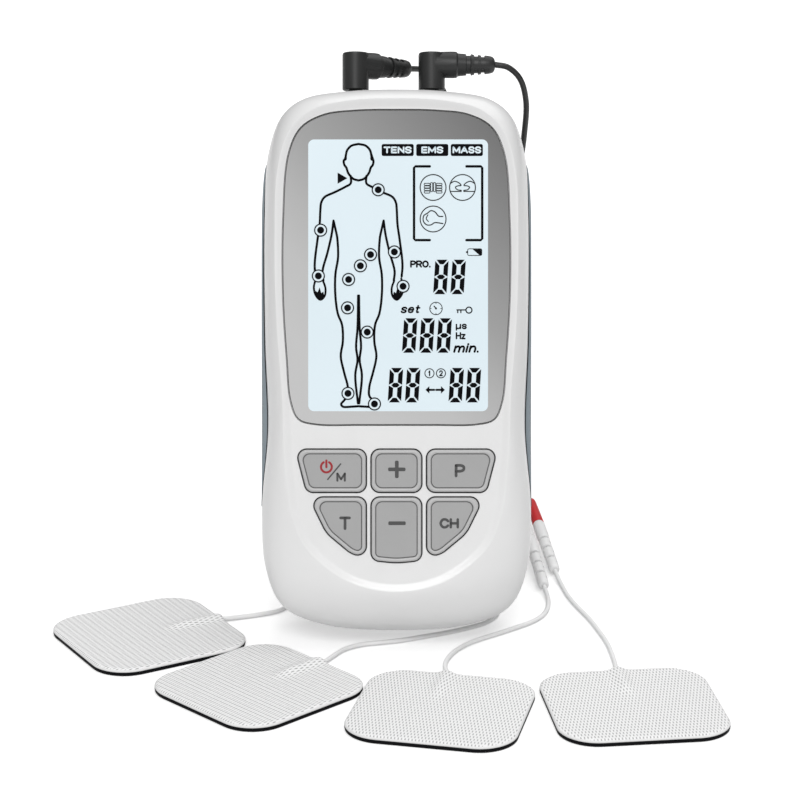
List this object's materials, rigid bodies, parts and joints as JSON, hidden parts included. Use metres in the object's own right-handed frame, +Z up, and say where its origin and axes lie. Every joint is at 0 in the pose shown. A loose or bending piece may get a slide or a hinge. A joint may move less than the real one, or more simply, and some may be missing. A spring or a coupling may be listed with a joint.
{
  "type": "tens unit",
  "caption": "Two-channel TENS unit with a large display, six keys and a fold-out stand, with leads and four square electrode pads.",
  "frame": {"origin": "middle of the footprint of the unit and its four pads, on the table they stand on", "axes": "+X to the right as seen by the user, +Y from the user towards the back of the unit, +Z up"},
  "size_m": [0.1612, 0.259, 0.1393],
  "materials": {
    "case_white": "satin moulded ABS, fine texture",
    "grip_blue_grey": "soft matt over-moulding",
    "key_grey": "satin",
    "lens_grey": "clear acrylic with a border printed behind it",
    "screen_glass": "polarised display glass",
    "light_panel": "diffusing acrylic",
    "mat_rubber": "silicone",
    "board_green": "solder mask",
    "black_plastic": "moulded, fine texture",
    "spring_nickel": "nickel plated",
    "cell_sleeve": "printed sleeve",
    "cord_black": "satin PVC",
    "white_plastic": "satin",
    "cord_white": "satin PVC",
    "red_plastic": "satin",
    "gel_black": "tacky carbon film and gel",
    "pad_cloth": "embossed non-woven"
  },
  "bodies": {
    "root": {"back_shell": "case_white", "backlight_panel": "light_panel", "battery_cell_1": "cell_sleeve", "battery_cell_2": "cell_sleeve", "battery_cell_3": "cell_sleeve", "battery_contact_strip": "spring_nickel", "case_screw_1": "spring_nickel", "case_screw_2": "spring_nickel", "case_screw_3": "spring_nickel", "case_screw_4": "spring_nickel", "display_lens": "lens_grey", "front_shell": "case_white", "keypad_mat": "mat_rubber", "lcd_panel": "screen_glass", "lead_1_coil": "cord_black", "lead_1_leg_a": "cord_white", "lead_1_leg_b": "cord_white", "lead_1_pin_a": "white_plastic", "lead_1_pin_b": "red_plastic", "lead_1_splitter": "black_plastic", "lead_1_trunk": "cord_black", "lead_2_coil": "cord_black", "lead_2_leg_a": "cord_white", "lead_2_leg_b": "cord_white", "lead_2_pin_a": "white_plastic", "lead_2_pin_b": "red_plastic", "lead_2_splitter": "black_plastic", "lead_2_trunk": "cord_black", "main_board": "board_green", "output_jack_1": "black_plastic", "output_jack_2": "black_plastic", "pad_1_cloth": "pad_cloth", "pad_1_gel": "gel_black", "pad_1_socket": "white_plastic", "pad_1_wire": "cord_white", "pad_2_cloth": "pad_cloth", "pad_2_gel": "gel_black", "pad_2_socket": "white_plastic", "pad_2_wire": "cord_white", "pad_3_cloth": "pad_cloth", "pad_3_gel": "gel_black", "pad_3_socket": "white_plastic", "pad_3_wire": "cord_white", "pad_4_cloth": "pad_cloth", "pad_4_gel": "gel_black", "pad_4_socket": "white_plastic", "pad_4_wire": "cord_white", "plug_1": "black_plastic", "plug_2": "black_plastic", "pulse_transformer": "black_plastic", "side_grip_left": "grip_blue_grey", "side_grip_right": "grip_blue_grey"},
    "key_power_mode": {"key_power_mode": "key_grey"},
    "key_plus": {"key_plus": "key_grey"},
    "key_program": {"key_program": "key_grey"},
    "key_time": {"key_time": "key_grey"},
    "key_minus": {"key_minus": "key_grey"},
    "key_channel": {"key_channel": "key_grey"},
    "battery_door": {"battery_door": "case_white"},
    "stand": {"stand": "case_white"}
  },
  "joints": [
    {"name": "key_power_mode_press", "type": "slide", "parent": "root", "child": "key_power_mode", "axis": [0, 0.9563, -0.2924], "range_m": [0, 0.0005], "stiffness_N_per_m": 600, "springref_m": -0.0015},
    {"name": "key_plus_press", "type": "slide", "parent": "root", "child": "key_plus", "axis": [0, 0.9563, -0.2924], "range_m": [0, 0.0005], "stiffness_N_per_m": 600, "springref_m": -0.0015},
    {"name": "key_program_press", "type": "slide", "parent": "root", "child": "key_program", "axis": [0, 0.9563, -0.2924], "range_m": [0, 0.0005], "stiffness_N_per_m": 600, "springref_m": -0.0015},
    {"name": "key_time_press", "type": "slide", "parent": "root", "child": "key_time", "axis": [0, 0.9563, -0.2924], "range_m": [0, 0.0005], "stiffness_N_per_m": 600, "springref_m": -0.0015},
    {"name": "key_minus_press", "type": "slide", "parent": "root", "child": "key_minus", "axis": [0, 0.9563, -0.2924], "range_m": [0, 0.0005], "stiffness_N_per_m": 600, "springref_m": -0.0015},
    {"name": "key_channel_press", "type": "slide", "parent": "root", "child": "key_channel", "axis": [0, 0.9563, -0.2924], "range_m": [0, 0.0005], "stiffness_N_per_m": 600, "springref_m": -0.0015},
    {"name": "battery_door_slide", "type": "slide", "parent": "root", "child": "battery_door", "axis": [0, -0.2924, -0.9563], "range_m": [0, 0.008]},
    {"name": "stand_hinge", "type": "hinge", "parent": "root", "child": "stand", "pos_m": [0.00455, 0.0397, 0.07603], "axis": [1, 0, 0], "range_deg": [-32.75, 0]}
  ]
}
